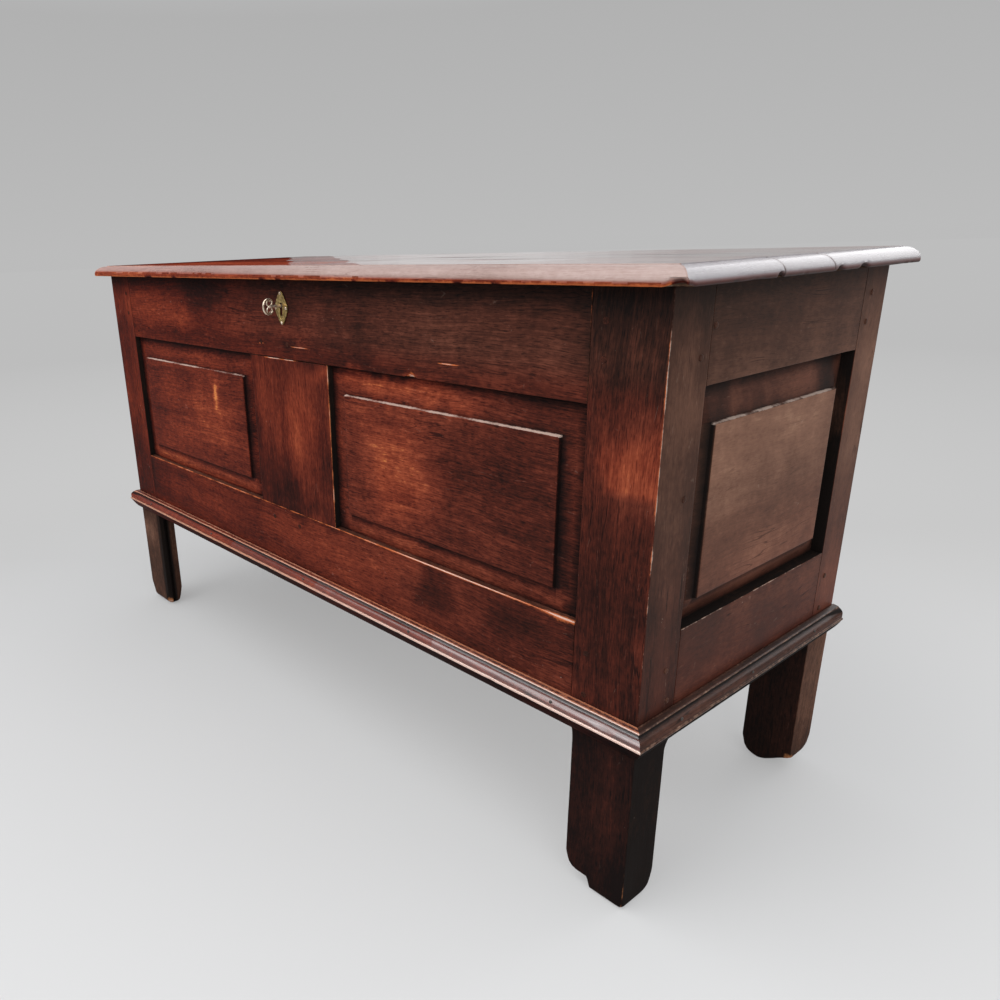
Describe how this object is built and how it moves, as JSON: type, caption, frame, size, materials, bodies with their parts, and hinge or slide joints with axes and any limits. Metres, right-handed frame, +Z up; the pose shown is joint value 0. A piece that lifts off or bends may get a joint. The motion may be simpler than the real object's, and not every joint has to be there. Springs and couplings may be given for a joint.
{
  "type": "wooden coffer",
  "caption": "Joined wooden coffer: fielded panels in a pegged frame on tall corner legs, moulded base, hinged plank lid with a moulded edge, lock and key.",
  "frame": {"origin": "on the floor, at the bottom centre of the bounding box with the lid shut and the key in the lock", "axes": "+X along the front to the right as seen from the front, +Y from the front to the back, +Z up"},
  "size_m": [1.2482, 0.487, 0.684],
  "materials": {
    "frame_wood": "dark red-brown stained hardwood, polished, worn on the arrises",
    "panel_wood": "dark red-brown stained hardwood, polished",
    "lid_wood": "red-brown stained hardwood, glossy, worn edge",
    "inner_wood": "dry unpolished hardwood",
    "peg_wood": "dark end grain",
    "iron": "dark wrought iron",
    "steel": "worn steel",
    "brass": "aged brass"
  },
  "bodies": {
    "carcass": {"front_left_post": "frame_wood", "front_right_post": "frame_wood", "back_left_post": "frame_wood", "back_right_post": "frame_wood", "front_top_rail": "frame_wood", "front_bottom_rail": "frame_wood", "front_muntin": "frame_wood", "left_top_rail": "frame_wood", "left_bottom_rail": "frame_wood", "right_top_rail": "frame_wood", "right_bottom_rail": "frame_wood", "moulding_front": "frame_wood", "moulding_left": "frame_wood", "moulding_right": "frame_wood", "front_left_panel": "panel_wood", "front_right_panel": "panel_wood", "left_panel": "panel_wood", "right_panel": "panel_wood", "back_top_rail": "inner_wood", "back_bottom_rail": "inner_wood", "back_muntin": "inner_wood", "back_left_panel": "inner_wood", "back_right_panel": "inner_wood", "floor_board_1": "inner_wood", "floor_board_2": "inner_wood", "floor_board_3": "inner_wood", "floor_board_4": "inner_wood", "peg_left_top_lower": "peg_wood", "peg_left_top_upper": "peg_wood", "peg_left_bottom_lower": "peg_wood", "peg_left_bottom_upper": "peg_wood", "peg_right_top_lower": "peg_wood", "peg_right_top_upper": "peg_wood", "peg_right_bottom_lower": "peg_wood", "peg_right_bottom_upper": "peg_wood", "peg_muntin_top_first": "peg_wood", "peg_muntin_top_second": "peg_wood", "peg_muntin_bottom_first": "peg_wood", "peg_muntin_bottom_second": "peg_wood", "hinge_plate_left": "iron", "hinge_plate_right": "iron", "hinge_pin_left": "iron", "hinge_pin_right": "iron", "lock_plate": "iron", "lock_case": "iron", "escutcheon": "brass", "escutcheon_pin_top": "brass", "escutcheon_pin_bottom": "brass", "escutcheon_pin_left": "brass", "escutcheon_pin_right": "brass"},
    "lid": {"lid_front_board": "lid_wood", "lid_middle_board": "lid_wood", "lid_back_board": "lid_wood", "lid_left_batten": "inner_wood", "lid_right_batten": "inner_wood", "hinge_strap_left": "iron", "hinge_strap_right": "iron", "lid_staple": "iron"},
    "key_body": {"key": "brass"},
    "bolt_body": {"lock_bolt": "steel"}
  },
  "joints": [
    {"name": "lid_hinge", "type": "hinge", "parent": "carcass", "child": "lid", "pos_m": [0, 0.2308, 0.6607], "axis": [-1, 0, 0], "range_deg": [0, 100]},
    {"name": "key_turn", "type": "hinge", "parent": "carcass", "child": "key_body", "pos_m": [-0.005, -0.212, 0.63], "axis": [0, 1, 0], "range_deg": [0, 360]},
    {"name": "bolt_slide", "type": "slide", "parent": "carcass", "child": "bolt_body", "axis": [1, 0, 0], "range_m": [0, 0.014]}
  ],
  "couplings": [
    {"joint": "key_turn", "follows": "bolt_slide", "rad_per_m": 448.79}
  ]
}
